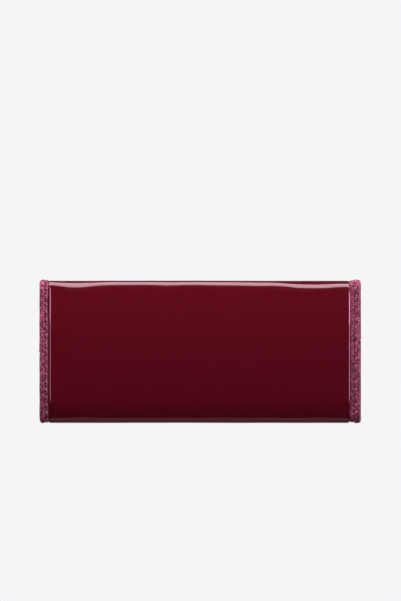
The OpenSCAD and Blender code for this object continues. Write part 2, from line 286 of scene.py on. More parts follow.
def waves(x, s, seed, length, count=7):
    """Smooth seeded ripple, about -1..1, with a typical wavelength in mm."""
    rng = np.random.default_rng(seed)
    total = np.zeros(np.broadcast(x, s).shape)
    for _ in range(count):
        wave = length * rng.uniform(0.6, 1.8)
        angle = rng.uniform(-0.9, 0.9)
        phase = rng.uniform(0, 2 * math.pi)
        total += np.sin(2 * math.pi * (x * math.cos(angle) + s * math.sin(angle)) / wave + phase)
    return total / math.sqrt(count) / 1.4


def cells(u, v, size, seed):
    """Nearest and second nearest distance to jittered cell points, in cell units."""
    u, v = u / size, v / size
    iu, iv = np.floor(u).astype(np.int64), np.floor(v).astype(np.int64)
    f1 = np.full(u.shape, 9.0)
    f2 = np.full(u.shape, 9.0)
    tone = np.zeros(u.shape)
    for du in (-1, 0, 1):
        for dv in (-1, 0, 1):
            cu, cv = iu + du, iv + dv
            h = (cu * 73856093 ^ cv * 19349663 ^ seed * 83492791) & 0x7FFFFFFF
            a = ((h * 1103515245 + 12345) & 0x7FFFFFFF) / 0x7FFFFFFF
            b = ((h * 69069 + 90731) & 0x7FFFFFFF) / 0x7FFFFFFF
            d = np.hypot(cu + 0.1 + 0.8 * a - u, cv + 0.1 + 0.8 * b - v)
            closer = d < f1
            f2 = np.where(closer, f1, np.minimum(f2, d))
            tone = np.where(closer, a, tone)
            f1 = np.where(closer, d, f1)
    return f1, f2, tone


def pebbles(u, v, size, seed):
    """Leather grain: rounded pebbles with creases between them, 0..1, and each pebble's own tone."""
    f1, f2, tone = cells(u, v, size, seed)
    crease = np.clip((f2 - f1) / 0.45, 0, 1)
    dome = crease * (2 - crease)
    return dome * (0.75 + 0.25 * tone), tone


def ease(a, b, t):
    t = np.clip(t, 0, 1)
    return a + (b - a) * t * t * (3 - 2 * t)


def eased(points, at, blur=2.0):
    """Control points joined, sampled at `at` and softened over `blur` mm."""
    px, py = zip(*points)
    fine = np.arange(px[0] - 4 * blur, px[-1] + 4 * blur, 0.1)
    raw = np.interp(fine, px, py)
    kernel = np.exp(-0.5 * (np.arange(-3 * blur, 3 * blur + 0.05, 0.1) / blur) ** 2)
    padded = np.concatenate([np.full(len(kernel), raw[0]), raw, np.full(len(kernel), raw[-1])])
    soft = np.convolve(padded, kernel / kernel.sum(), mode="same")[len(kernel):-len(kernel)]
    return np.interp(at, fine, soft)


# ---------------------------------------------------------------- materials


def set_stops(ramp, stops):
    elements = ramp.elements
    while len(elements) < len(stops):
        elements.new(0.5)
    for item, (pos, colour) in zip(elements, stops):
        item.position = pos
        item.color = (*colour, 1)


class Nodes:
    """A material's node tree. In keyword names, _x sets a node's property and A__B is the input "A B"."""

    def __init__(self, name):
        self.mat = bpy.data.materials.new(name)
        self.mat.use_nodes = True
        self.tree = self.mat.node_tree
        self.bsdf = self.tree.nodes["Principled BSDF"]

    def add(self, kind, **inputs):
        node = self.tree.nodes.new(kind)
        for key, value in inputs.items():
            if key.startswith("_"):
                setattr(node, key[1:], value)
            else:
                self.put(node.inputs[key.replace("__", " ")], value)
        return node

    def put(self, socket, value):
        if isinstance(value, bpy.types.NodeSocket):
            self.tree.links.new(value, socket)
        elif isinstance(value, bpy.types.Node):
            self.tree.links.new(value.outputs[0], socket)
        else:
            socket.default_value = value

    def place(self, coords):
        return self.add("ShaderNodeTexCoord").outputs[coords]

    def noise(self, vector, scale, detail=3.0, rough=0.5):
        node = self.add("ShaderNodeTexNoise", Scale=scale, Detail=detail, Roughness=rough)
        self.put(node.inputs["Vector"], vector)
        return node.outputs["Fac"]

    def cell_edge(self, vector, scale):
        node = self.add("ShaderNodeTexVoronoi", _feature="DISTANCE_TO_EDGE", Scale=scale)
        self.put(node.inputs["Vector"], vector)
        return node.outputs["Distance"]

    def ramp(self, fac, stops):
        node = self.add("ShaderNodeValToRGB")
        self.put(node.inputs["Fac"], fac)
        set_stops(node.color_ramp, stops)
        return node.outputs["Color"]

    def span(self, fac, low, high, out_low, out_high):
        node = self.add("ShaderNodeMapRange")
        for i, v in enumerate((fac, low, high, out_low, out_high)):
            self.put(node.inputs[i], v)
        return node.outputs["Result"]

    def calc(self, op, a, b=0.0):
        node = self.add("ShaderNodeMath", _operation=op)
        self.put(node.inputs[0], a)
        self.put(node.inputs[1], b)
        return node.outputs[0]

    def bump(self, height, strength, distance):
        node = self.add("ShaderNodeBump", Strength=strength, Distance=distance)
        self.put(node.inputs["Height"], height)
        return node.outputs["Normal"]

    def finish(self, colour, rough, normal, **fixed):
        self.put(self.bsdf.inputs["Base Color"], colour)
        self.put(self.bsdf.inputs["Roughness"], rough)
        self.put(self.bsdf.inputs["Normal"], normal)
        for key, value in fixed.items():
            self.bsdf.inputs[key.replace("__", " ")].default_value = value
        return self.mat


def patent_material():
    n = Nodes("patent_leather")
    uv = n.place("UV")
    mottle = n.noise(uv, 2.2, 4.0, 0.6)
    fine = n.noise(uv, 26.0, 3.0, 0.6)
    mixed = n.calc("ADD", n.calc("MULTIPLY", mottle, 0.7), n.calc("MULTIPLY", fine, 0.3))
    colour = n.ramp(mixed, [(0.3, (0.130, 0.0024, 0.0108)), (0.7, (0.160, 0.0040, 0.0150))])
    rough = n.span(fine, 0.3, 0.7, 0.34, 0.44)
    peel = n.noise(uv, 9.0, 2.0, 0.5)
    normal = n.bump(peel, 0.05, 0.0004)
    return n.finish(colour, rough, normal, Coat__Weight=1.0, Coat__Roughness=0.03, Coat__IOR=1.5,
                    Specular__IOR__Level=0.02)


def grain_and_painted_shade_material():
    n = Nodes("binding_leather")
    uv = n.place("UV")
    grain = n.add("ShaderNodeAttribute", _attribute_name="grain").outputs["Fac"]
    mottle = n.noise(uv, 5.0, 4.0, 0.6)
    speck = n.noise(uv, 60.0, 2.0, 0.5)
    tone = n.calc("ADD", n.calc("MULTIPLY", grain, 0.95), n.calc("MULTIPLY", mottle, 0.18))
    # The ramp's dark end is painted shade in the pebbles' creases and its bright pink end is a painted
    # highlight on their tops; the mottle adds real tone.
    colour = n.ramp(tone, [(0.16, (0.024, 0.0003, 0.005)), (0.38, (0.110, 0.004, 0.026)),
                           (0.60, (0.290, 0.020, 0.078)), (0.86, (0.68, 0.130, 0.280))])
    rough = n.span(tone, 0.3, 0.8, 0.60, 0.38)
    height = n.calc("ADD", n.calc("MULTIPLY", mottle, 0.5), n.calc("MULTIPLY", speck, 0.5))
    normal = n.bump(height, 0.4, 0.0001)
    return n.finish(colour, rough, normal, Coat__Weight=0.06, Coat__Roughness=0.3, Specular__IOR__Level=0.3)


def inner_leather_material():
    n = Nodes("inner_leather")
    uv = n.place("UV")
    mottle = n.noise(uv, 1.6, 4.0, 0.6)
    edge = n.cell_edge(uv, 22.0)
    crease = n.span(edge, 0.0, 0.12, 0.0, 1.0)
    colour = n.ramp(mottle, [(0.3, (0.085, 0.006, 0.018)), (0.7, (0.120, 0.010, 0.026))])
    rough = n.span(mottle, 0.3, 0.7, 0.42, 0.55)
    normal = n.bump(crease, 0.25, 0.00008)
    return n.finish(colour, rough, normal)


def cloth_material(name, dark, light, scale=18.0):
    n = Nodes(name)
    uv = n.place("UV")
    split = n.add("ShaderNodeSeparateXYZ")
    n.put(split.inputs[0], uv)
    rate = scale * 2 * math.pi
    warp = n.calc("SINE", n.calc("MULTIPLY", split.outputs[0], rate))
    weft = n.calc("SINE", n.calc("MULTIPLY", split.outputs[1], rate))
    weave = n.calc("MULTIPLY", warp, weft)
    fuzz = n.noise(uv, 40.0, 3.0, 0.6)
    tone = n.calc("ADD", n.calc("MULTIPLY", weave, 0.25), fuzz)
    colour = n.ramp(tone, [(0.25, dark), (0.75, light)])
    normal = n.bump(weave, 0.35, 0.00008)
    rough = n.span(fuzz, 0.3, 0.7, 0.75, 0.92)
    return n.finish(colour, rough, normal, Sheen__Weight=0.25, Sheen__Roughness=0.5)


def thread_material():
    n = Nodes("thread")
    uv = n.place("UV")
    split = n.add("ShaderNodeSeparateXYZ")
    n.put(split.inputs[0], uv)
    around = n.calc("MULTIPLY", split.outputs[0], 90.0)
    along = n.calc("MULTIPLY", split.outputs[1], 60.0)
    twist = n.calc("SINE", n.calc("ADD", around, along))
    fuzz = n.noise(uv, 80.0, 2.0, 0.5)
    tone = n.calc("ADD", n.calc("MULTIPLY", twist, 0.3), fuzz)
    # Painted highlight: the thread is coloured a light pink that stands in for the highlights on its lit
    # side.
    colour = n.ramp(tone, [(0.2, (0.36, 0.075, 0.150)), (0.8, (0.80, 0.340, 0.480))])
    normal = n.bump(twist, 0.5, 0.0001)
    rough = n.span(fuzz, 0.3, 0.7, 0.4, 0.6)
    return n.finish(colour, rough, normal)


def metal_material(coords="UV", name="gold_metal"):
    n = Nodes(name)
    place = n.place(coords)
    scale = 1.0 if coords == "UV" else 100.0
    smear = n.noise(place, 3.0 * scale, 3.0, 0.6)
    scratch = n.noise(place, 45.0 * scale, 2.0, 0.7)
    colour = n.ramp(smear, [(0.3, (0.72, 0.50, 0.23)), (0.7, (0.83, 0.61, 0.31))])
    rough = n.span(scratch, 0.3, 0.7, 0.16, 0.28)
    normal = n.bump(scratch, 0.08, 0.00005)
    return n.finish(colour, rough, normal, Metallic=1.0)


def board_material():
    n = Nodes("board")
    place = n.place("Object")
    fibre = n.noise(place, 900.0, 4.0, 0.7)
    colour = n.ramp(fibre, [(0.3, (0.42, 0.35, 0.25)), (0.7, (0.56, 0.48, 0.36))])
    return n.finish(colour, n.span(fibre, 0.3, 0.7, 0.8, 0.95), n.bump(fibre, 0.3, 0.0001))


PATENT = patent_material()
BINDING_GRAIN_AND_PAINTED_SHADE = grain_and_painted_shade_material()
INNER = inner_leather_material()
LINING = cloth_material("lining_cloth", (0.045, 0.005, 0.011), (0.085, 0.012, 0.022))
TAPE = cloth_material("zip_tape", (0.050, 0.004, 0.010), (0.10, 0.010, 0.022), 26.0)
THREAD = thread_material()
GOLD = metal_material()
GOLD_CAD = metal_material("Object", "gold_metal_parts")
BOARD = board_material()


def dressed(obj, material, slot, *bodies):
    """Gives a piece its material and, with one body, attaches it to that body. With two bodies, the bodies
    and the bend's start and end are not used, and the piece's placement is only baked into its mesh.
    """
    obj.data.materials.clear()
    obj.data.materials.append(material)
    if len(bodies) == 1:
        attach(obj, bodies[0])
    else:
        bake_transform(obj)


NAPE_BEND = ("shell", "spine", (0, BACK_Y, NAPE[1] - 1.0), (0, NAPE[0] + 1.0, TOP_Z))
BROW_BEND = ("spine", "flap", (0, BROW[0] - 1.0, TOP_Z), (0, FLAP_Y, BROW[1] - 1.0))
TOE_BEND = ("shell", "front_wall", (0, TOE[0] - 1.0, LOW_Z), (0, FRONT_Y, TOE[1] + 1.0))

# ---------------------------------------------------------------- the outer leather


def across(step=1.5):
    """X positions over the leather, close together at the side seams."""
    inner = HALF_W - 9.5
    mid = np.arange(-inner, inner + 0.01, step)
    seam = np.arange(9.0, 4.9, -0.15)
    right = np.concatenate([[inner], HALF_W - seam, [HALF_W - 4.0, EDGE_X]])
    return np.concatenate([-right[::-1], mid[1:-1], right])


def seam_dip(gap, depth=1.4, width=2.3):
    """How far the padded leather has rolled down, `gap` mm inside a sewn edge."""
    t = np.clip(1 - gap / width, 0, 1)
    return np.where(gap < 0, -depth, -depth * (1 - np.sqrt(1 - np.minimum(t, 0.9995) ** 2)))


def to_profile(run, profile):
    """Offsets that carry a run's rows onto a drawn profile of (y, z) points."""
    profile = np.array(profile, float)
    d = np.concatenate([[0], np.cumsum(np.hypot(*np.diff(profile, axis=0).T))])
    fine = np.linspace(0, d[-1], 900)
    pts = np.column_stack([np.interp(fine, d, profile[:, c]) for c in (0, 1)])
    out = np.zeros(len(run))
    for i, row in enumerate(run):
        q = pts - row[0:2]
        aside = q[:, 0] * row[3] - q[:, 1] * row[2]
        away = q[:, 0] * row[2] + q[:, 1] * row[3]
        near = np.where(np.abs(away) < 4.0, np.abs(aside), 99.0)
        out[i] = away[np.argmin(near)] if near.min() < 0.1 else 0.0
    return out


def corner_profile(radius, top, ramp=None, rise_to=None):
    """The nape's outline: wall, arc of `radius` under `top`, then a shallow ramp up to the spine."""
    cy, cz = BACK_Y + radius, top - radius
    end = 90 if ramp is None else ramp
    a = np.radians(np.linspace(0, end, 40))
    pts = [(BACK_Y, LOW_Z + 30)] + list(zip(cy - radius * np.cos(a), cz + radius * np.sin(a)))
    if ramp is not None:
        y, z = pts[-1]
        pts.append((y + (rise_to - z) * math.tan(math.radians(ramp)), rise_to))
    pts.append((SPINE_MID + 1, pts[-1][1]))
    return pts


LEATHER_BACK = -LEATHER_T - 0.35   # the leather's inner face, outwards from the run
DEEPEST = -1.43                    # a roll stops here, so it never comes through the inner face


def leather(name, run, offset):
    """Outer leather over a run. offset is (X positions, run rows), outwards in mm."""
    x = across()
    inner = run[::-1]
    around = len(run) + len(inner)
    loops = np.zeros((len(x), around, 3))
    loops[:, :, 0] = x[:, None]
    n = len(run)
    loops[:, :n, 1] = run[:, 0] + offset * run[:, 2]
    loops[:, :n, 2] = run[:, 1] + offset * run[:, 3]
    loops[:, n:, 1] = inner[:, 0] + LEATHER_BACK * inner[:, 2]
    loops[:, n:, 2] = inner[:, 1] + LEATHER_BACK * inner[:, 3]
    s = np.concatenate([run[:, 4], inner[:, 4]])
    u = np.repeat(x[:, None], around, axis=1)
    v = np.repeat(s[None, :], len(x), axis=0)
    obj = solid_from(name, loops, (v, u), True)
    return sharp_edges(obj, 60)


def fold_ripple(x, s, at, reach, seed, size):
    near = np.exp(-(((s - at) / reach) ** 2))
    return size * near * waves(x, s, seed, 34.0)


# How much of the nape is dented or softened, by X in mm.
DENT = [(-95, 0), (20, 0), (28, 0.10), (42, 0.16), (48, 0.42), (54, 0.78), (60, 0.95), (66, 1.0), (72, 1.0),
        (77, 0.82), (83, 0.66), (95, 0.6)]
SOFT = [(-95, 0), (-88, 0.1), (-82, 0.7), (-76, 1.0), (-70, 0.95), (-64, 0.65), (-58, 0.25), (-50, 0.05),
        (-26, 0.05), (-18, 0.22), (-10, 0.08), (0, 0.05), (12, 0.25), (22, 0.25), (40, 0.3), (50, 0.0),
        (95, 0)]

# The padded back's height along its run: from the heel's end, and from the nape's start.
HEEL_CROWN = [(-16, 0.40), (-12, 0.72), (-9, 0.72), (-7.7, 0.60), (-6, -0.10), (-4.5, -0.80), (-3, -1.20),
              (-1.7, -1.34), (0, -1.12), (0.9, -0.84), (3.3, -0.17), (5.7, 0.27), (8, 0.52), (11, 0.63),
              (20, 0.66), (35, 0.63)]
NAPE_CROWN = [(-22, 0.55), (-15, 0.40), (-8, 0.12), (0, -0.22), (3.5, -0.05), (7, 0.05)]
LOWEST = 0.72                      # how far the bottom may bulge down

# The back's roll down into its side seams: (gap in from the binding, height), left and right.
ROLL = {-1: [(-1.0, -1.45), (-0.2, -1.40), (0.10, -1.05), (0.34, -0.60), (1.28, -0.13), (1.75, -0.02),
             (2.6, 0.0)],
        1: [(-1.0, -1.40), (-0.3, -1.0), (-0.08, -0.30), (0.44, -0.03), (0.8, 0.0), (2.5, 0.0)]}
ROLL_SHALLOW = [(-1.0, -1.40), (-0.4, -1.2), (0.0, -0.45), (0.5, -0.15), (1.1, -0.03), (2.0, 0.0)]

X_ALL = across()[:, None]
SIDE_GAP = np.where(X_ALL < 0, HALF_W - VISIBLE[-1] + X_ALL, HALF_W - VISIBLE[1] - X_ALL)


def back_offset(run):
    s = run[None, :, 4]
    heel_end = abs(HEEL[0] - BASE_MID) + FOLD_R * math.pi / 2
    nape_start = heel_end + NAPE[1] - HEEL[1]
    last = run[-1, 4]
    points = [(heel_end + d, h) for d, h in HEEL_CROWN] + [(nape_start + d, h) for d, h in NAPE_CROWN]
    crown = eased(points + [(last - 6, 0.03), (last, 0.0)], s, 0.7)
    crown = crown * np.ones_like(X_ALL)
    near = ease(0, 1, (s - nape_start + 9.0) / 4.0) * ease(1, 0, (s - last + 3.0) / 3.0)
    dent = to_profile(run, corner_profile(5.2, TOP_Z - 1.35, 65.0, TOP_Z - 0.15))[None, :]
    soft = to_profile(run, corner_profile(6.6, TOP_Z - 0.05))[None, :]
    for amount, shape in ((eased(DENT, X_ALL, 1.5), dent), (eased(SOFT, X_ALL, 2.5), soft)):
        crown += amount * near * (np.minimum(shape, 0.1) - crown)
    deep = np.where(X_ALL < 0, eased(ROLL[-1], SIDE_GAP, 0.12), eased(ROLL[1], SIDE_GAP, 0.08))
    full = ease(0, 1, (s - heel_end + 1.5) / 2.5) * ease(1, 0, (s - nape_start + 1.0) / 2.5)
    off = crown + deep * full + eased(ROLL_SHALLOW, SIDE_GAP, 0.1) * (1 - full)
    off += fold_ripple(X_ALL, s, nape_start + FOLD_R * 0.8, 4.0, 11, 0.06)
    off += fold_ripple(X_ALL, s, heel_end - FOLD_R * 0.8, 4.0, 12, 0.08)
    off += 0.05 * waves(X_ALL, s, 13, 60.0) * ease(0, 1, (last - s) / 6.0)
    facing_down = run[None, :, 3] < -0.95
    return np.maximum(np.where(facing_down, np.minimum(off, LOWEST), off), DEEPEST)


def flap_offset(run, low):
    s = run[None, :, 4]
    brow_end = BROW[0] - SPINE_MID + FOLD_R * math.pi / 2
    last = run[-1, 4]
    crown = eased([(0, 0.0), (brow_end - 5, 0.0), (brow_end, -0.25), (brow_end + 8, 0.05),
                   (brow_end + 18, 0.25), (last - 16, 0.25), (last - 6, 0.0), (last, -0.1)], s, 1.6)
    gap = np.minimum(SIDE_GAP, run[None, :, 1] - (low + 5.8))
    off = crown + seam_dip(gap)
    off += fold_ripple(X_ALL, s, brow_end - FOLD_R * 0.8, 4.0, 21, 0.09)
    off += 0.04 * waves(X_ALL, s, 22, 60.0) * ease(0, 1, s / 6.0)
    return off


def front_offset(run, top):
    s = run[None, :, 4]
    toe_start = top - TOE[1]
    crown = eased([(0, -0.1), (10, 0.05), (30, 0.15), (toe_start - 10, 0.05), (toe_start, -0.15),
                   (toe_start + 4, 0.0), (toe_start + 12, 0.0)], s, 1.6)
    gap = np.minimum(SIDE_GAP, top - 5.2 - run[None, :, 1])
    on_front = run[None, :, 2] > 0.5
    gap = np.where(on_front, gap, SIDE_GAP)
    return crown + seam_dip(gap, 1.2, 2.0) + 0.03 * waves(X_ALL, s, 31, 50.0)


run = back_run(1.0, 0.35)
outer_back = leather("outer_back", run, back_offset(run))
dressed(outer_back, PATENT, "patent_leather", *NAPE_BEND)
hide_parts("back_leather", "spine_leather")

run = flap_run(FLAP_LOW + 1.2, 0.6, 0.35)
outer_flap = leather("outer_flap", run, flap_offset(run, FLAP_LOW))
dressed(outer_flap, PATENT, "patent_leather", *BROW_BEND)
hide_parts("flap_leather")

run = front_run(FRONT_TOP - 1.2, 0.8, 0.35)
outer_front = leather("outer_front", run, front_offset(run, FRONT_TOP))
dressed(outer_front, PATENT, "patent_leather", *TOE_BEND)
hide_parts("front_leather")

# ---------------------------------------------------------------- linings


def lining(name, run, thick, half=EDGE_X, step=3.0):
    """Woven lining on the inner face of a wall. thick is the wall's thickness at each row."""
    x = np.linspace(-half, half, int(2 * half / step) + 1)
    thick = np.broadcast_to(thick, (len(run),))
    outer, inner = LINING_T - thick, -thick
    rows = np.concatenate([np.arange(len(run)), np.arange(len(run))[::-1]])
    depth = np.concatenate([outer, inner[::-1]])
    loops = np.zeros((len(x), len(rows), 3))
    loops[:, :, 0] = x[:, None]
    loops[:, :, 1] = run[rows, 0] + depth * run[rows, 2]
    loops[:, :, 2] = run[rows, 1] + depth * run[rows, 3]
    back = run[rows[len(run):]]
    loops[:, len(run):, 1] += 0.04 * waves(x[:, None], back[:, 4][None, :], 41, 30.0) * back[:, 2]
    u = np.repeat(x[:, None], len(rows), axis=1)
    v = np.repeat(run[rows, 4][None, :], len(x), axis=0)
    return sharp_edges(solid_from(name, loops, (v, u), True), 60)


run = back_run(2.0, 0.5)
run = run[(run[:, 1] > HEEL[1]) | (run[:, 0] > NAPE[0])]
run = run[run[:, 1] > LOW_Z + 1]
thick = ease(BACK_T, SPINE_T, (run[:, 0] - BACK_Y) / (FOLD_R + 1.0))
lining_back = lining("lining_back", run, thick)
dressed(lining_back, LINING, "lining_cloth", *NAPE_BEND)
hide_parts("back_lining", "spine_lining")

run = flap_run(FLAP_LOW + 0.8, 2.0, 0.5)
thick = ease(SPINE_T, WALL_T, (run[:, 0] - BROW[0] + 1.0) / (FOLD_R + 0.5))
lining_flap = lining("lining_flap", run, thick)
dressed(lining_flap, LINING, "lining_cloth", *BROW_BEND)
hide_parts("flap_lining")

run = front_run(FRONT_TOP - 0.8, 2.0, 0.5)
run = run[run[:, 1] > TOE[1]]
lining_front = lining("lining_front", run, WALL_T)
dressed(lining_front, LINING, "lining_cloth", "front_wall")
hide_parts("front_lining")

run = straight((TOE[0], LOW_Z), (HEEL[0], LOW_Z), 1.0)
lining_base = lining("lining_base", run, SPINE_T, FACE_X)
dressed(lining_base, LINING, "lining_cloth", "shell")
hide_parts("base_lining")

# ---------------------------------------------------------------- the edge bindings
# The strip's section: [distance in from the outer edge, height over the leather, share of the
# wall's thickness that it sits below].
SECTION = [
    (5.60, -1.60, 0), (5.80, -1.20, 0), (5.80, -0.75, 0), (5.66, -0.30, 0), (5.30, -0.02, 0), (4.75, 0.12, 0),
    (4.20, 0.10, 0), (3.75, -0.04, 0), (3.50, -0.12, 0), (3.25, 0.00, 0), (2.80, 0.32, 0), (2.20, 0.54, 0),
    (1.60, 0.58, 0), (1.00, 0.46, 0), (0.50, 0.16, 0), (0.18, -0.30, 0), (0.03, -0.80, 0),
    (0.00, 0.0, 0.5), (0.03, 0.80, 1), (0.18, 0.28, 1), (0.50, -0.18, 1), (1.00, -0.46, 1), (1.60, -0.58, 1),
    (2.60, -0.60, 1), (3.60, -0.56, 1), (4.60, -0.55, 1), (5.00, -0.35, 1), (5.05, 0.0, 1),
]
GRAIN_SIZE = 0.27                  # the pebbles' height
PEBBLE = 0.95                      # and their width
INSIDE = [(4.0, 0.10, 1), (0.80, 0.10, 1), (0.80, -0.45, 0), (4.5, -1.20, 0)]


def section_for(visible, stitch):
    """The section with its inner edge and its stitch line moved to where this strip has them."""
    at = np.array(SECTION, float)
    outer = at[:, 2] == 0
    at[outer, 0] = np.interp(at[outer, 0], [0, 2.2, 3.5, 5.8], [0, stitch - 1.3, stitch, visible])
    return at


def smooth_loop(p, step):
    """Points through a Catmull-Rom curve, about `step` apart and twice that inside, as [a, n, k]."""
    out = []
    for i in range(len(p) - 1):
        a, b, c, d = p[max(i - 1, 0)], p[i], p[i + 1], p[min(i + 2, len(p) - 1)]
        span = math.hypot(c[0] - b[0], (c[1] - c[2] * 2.2) - (b[1] - b[2] * 2.2))
        count = max(1, int(math.ceil(span / step * (0.45 if c[2] > 0.6 else 1.0))))
        for t in np.arange(count) / count:
            out.append(0.5 * (2 * b + (c - a) * t + (2 * a - 5 * b + 4 * c - d) * t * t
                              + (3 * b - a - 3 * c + d) * t ** 3))
    out.append(p[-1])
    return np.array(out)


def strip_loops(run, frame_of, thick, grain, seed, lift=None, step=0.19, section=None, holes=(), hole_at=0):
    """Cross-sections of the binding along a run. frame_of gives 3-D points from (a, n) for every row."""
    outer = smooth_loop(np.array(SECTION) if section is None else section, step)
    inside = np.array(INSIDE)
    thick = np.broadcast_to(thick, (len(run),)).astype(float)
    a = np.tile(np.concatenate([outer[:, 0], inside[:, 0]]), (len(run), 1))
    n = np.concatenate([outer[:, 1], inside[:, 1]])[None, :] \
        - np.concatenate([outer[:, 2], inside[:, 2]])[None, :] * thick[:, None]
    m = len(outer)
    da = np.gradient(a[:, :m], axis=1)
    dn = np.gradient(n[:, :m], axis=1)
    norm = np.hypot(da, dn) + 1e-9
    na, nn = dn / norm, -da / norm
    steps = np.hypot(np.diff(outer[:, 0]), np.diff(outer[:, 1] - 2.2 * outer[:, 2]))
    girth = np.concatenate([[0], np.cumsum(steps)])
    s = run[:, 4][:, None]
    g = girth[None, :]
    gg = g + 0 * s + 0.35 * waves(g, s, seed + 2, 3.0)
    ss = s + 0 * g + 0.35 * waves(g, s, seed + 3, 3.0)
    big, tone = pebbles(gg, ss, PEBBLE, seed)
    small, small_tone = pebbles(gg, ss, PEBBLE * 0.55, seed + 5)
    height = grain * (big - 0.6) + 0.4 * grain * (small - 0.6)
    # The binding's tone: each pebble's own random tone, plus painted shade in the creases between pebbles and
    # a painted highlight on their rounded tops.
    shade = np.full(a.shape, 0.5)
    shade[:, :m] = (0.62 * big + 0.22 * small) * (0.55 + 0.65 * tone) + 0.16 * small_tone
    height += 0.05 * waves(g, s, seed + 9, 9.0)
    fade = np.clip(np.minimum(g - girth[0], 1.0), 0.2, 1)
    height = height * fade
    for at in holes:
        close = np.abs(run[:, 4] - at) < 1.5
        on_face = np.where(n[close][:, :m] > -1.0, a[close][:, :m], 99.0)
        far = (s[close] - at) ** 2 + (on_face - hole_at) ** 2
        pit = np.exp(-far / 0.42 ** 2)
        height[close] -= 0.55 * pit
        # Painted shade: the leather's tone is darkened in and around each stitch hole.
        shade[close, :m] *= 1 - 0.9 * pit
    if lift is not None:
        height = height + lift[:, None]
    a[:, :m] += height * na
    n[:, :m] += height * nn
    loops = frame_of(a, n)
    gu = np.concatenate([girth, girth[-1] + np.arange(1, len(inside) + 1)])
    u = np.tile(gu, (len(run), 1))
    v = np.repeat(s, len(gu), axis=1)
    return loops, (u, v), shade


def side_frame(run, side):
    def place(a, n):
        out = np.zeros(a.shape + (3,))
        out[..., 0] = side * (HALF_W + SWELL[side] - a * (1 + SWELL[side] / VISIBLE[side]))
        out[..., 1] = run[:, 0][:, None] + n * run[:, 2][:, None]
        out[..., 2] = run[:, 1][:, None] + n * run[:, 3][:, None]
        return out
    return place


def stitch_centres(length):
    count = int(length / STITCH_PITCH)
    return (np.arange(count) + 0.5) * length / count


def hole_places(length):
    return np.concatenate([stitch_centres(length) - HOLE_REACH, stitch_centres(length) + HOLE_REACH])


def back_strips(side, word):
    """One side of the back: a strip up to the lap, and one that starts over it and turns at the nape."""
    whole = back_run(0.20, 0.18)
    y, z = whole[:, 0], whole[:, 1]
    options = {"section": section_for(VISIBLE[side], STITCH_AT[side]),
               "holes": hole_places(whole[-1, 4]), "hole_at": STITCH_AT[side]}
    thick = ease(BACK_T, SPINE_T, (y - BACK_Y) / (FOLD_R + 1.0)) * (z > 40) + BACK_T * (z <= 40)
    under = (z < LAP[side] + 2.5) & (y < NAPE[0] + 2) | (z < HEEL[1])
    over = ~((z < LAP[side] - 0.1) | (z < HEEL[1]))
    low, high = whole[under], whole[over]
    sink = -0.30 * np.clip((low[:, 1] - (LAP[side] - 1.5)) / 1.5, 0, 1) * (low[:, 0] < NAPE[0])
    rise = 0.22 * np.exp(-np.clip(high[:, 4] - high[0, 4], 0, None) / 4.0)

    loops, uv, shade = strip_loops(low, side_frame(low, side), thick[under], GRAIN_SIZE, 50 + side, sink,
                                   **options)
    piece = solid_from("edge_strip_lower_" + word, loops, uv, shade=shade)
    dressed(piece, BINDING_GRAIN_AND_PAINTED_SHADE, "binding_leather", "shell")
    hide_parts("binding_back_lower_" + word)

    loops, uv, shade = strip_loops(high, side_frame(high, side), thick[over], GRAIN_SIZE * 0.75, 60 + side,
                                   rise, **options)
    piece = solid_from("edge_strip_upper_" + word, loops, uv, shade=shade)
    dressed(piece, BINDING_GRAIN_AND_PAINTED_SHADE, "binding_leather", *NAPE_BEND)
    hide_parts("binding_back_upper_" + word, "binding_spine_" + word)


back_strips(-1, "left")
back_strips(1, "right")


def mitred(side_run, cross_z, plane_y):
    """Rows for a strip that goes down one side, across and up the other, with mitred corners.

    side_run starts at the fold and ends at the corner's height. A row adds two values to a run's: its
    side or, on the cross strip, its X; and whether it is on the cross strip."""
    end = side_run[-1, 4]
    width = 2 * HALF_W
    rows = []
    for r in side_run:
        rows.append((r[0], r[1], r[2], r[3], r[4], -1.0, 0.0))
    count = int(width / 0.3)
    for t in np.linspace(0, 1, count + 1)[1:-1]:
        rows.append((plane_y, cross_z, 1.0, 0.0, end + t * width, -HALF_W + t * width, 1.0))
    for r in side_run[::-1]:
        rows.append((r[0], r[1], r[2], r[3], 2 * end + width - r[4], 1.0, 0.0))
    return np.array(rows)


def mitred_frame(rows, cross_z, up):
    """up is +1 where the wall lies above the cross strip, -1 where it lies below."""
    def place(a, n):
        out = np.zeros(a.shape + (3,))
        crossing = rows[:, 6] > 0.5
        for i, row in enumerate(rows):
            y = row[0] + n[i] * row[2]
            if crossing[i]:
                room = HALF_W - abs(row[5])
                inner = np.minimum(a[i], 9.0)
                out[i, :, 0] = row[5] + np.where(inner > room, np.sign(-row[5]) * (inner - room), 0.0)
                out[i, :, 1] = y
                out[i, :, 2] = cross_z + up * a[i]
            else:
                z = row[1] + n[i] * row[3]
                room = up * (row[1] - cross_z) if abs(row[3]) < 1e-6 else 99.0
                out[i, :, 0] = row[5] * (HALF_W - a[i])
                out[i, :, 1] = y
                out[i, :, 2] = z + np.where(a[i] > room, up * (a[i] - room), 0.0)
        return out
    return place


def edge_strip(name, side_run, cross_z, plane_y, up, thick, seed):
    rows = mitred(side_run, cross_z, plane_y)
    both = np.concatenate([thick, np.full(len(rows) - 2 * len(side_run), thick[-1]), thick[::-1]])
    loops, uv, shade = strip_loops(rows, mitred_frame(rows, cross_z, up), both, GRAIN_SIZE, seed, step=0.25)
    return solid_from(name, loops, uv, shade=shade)


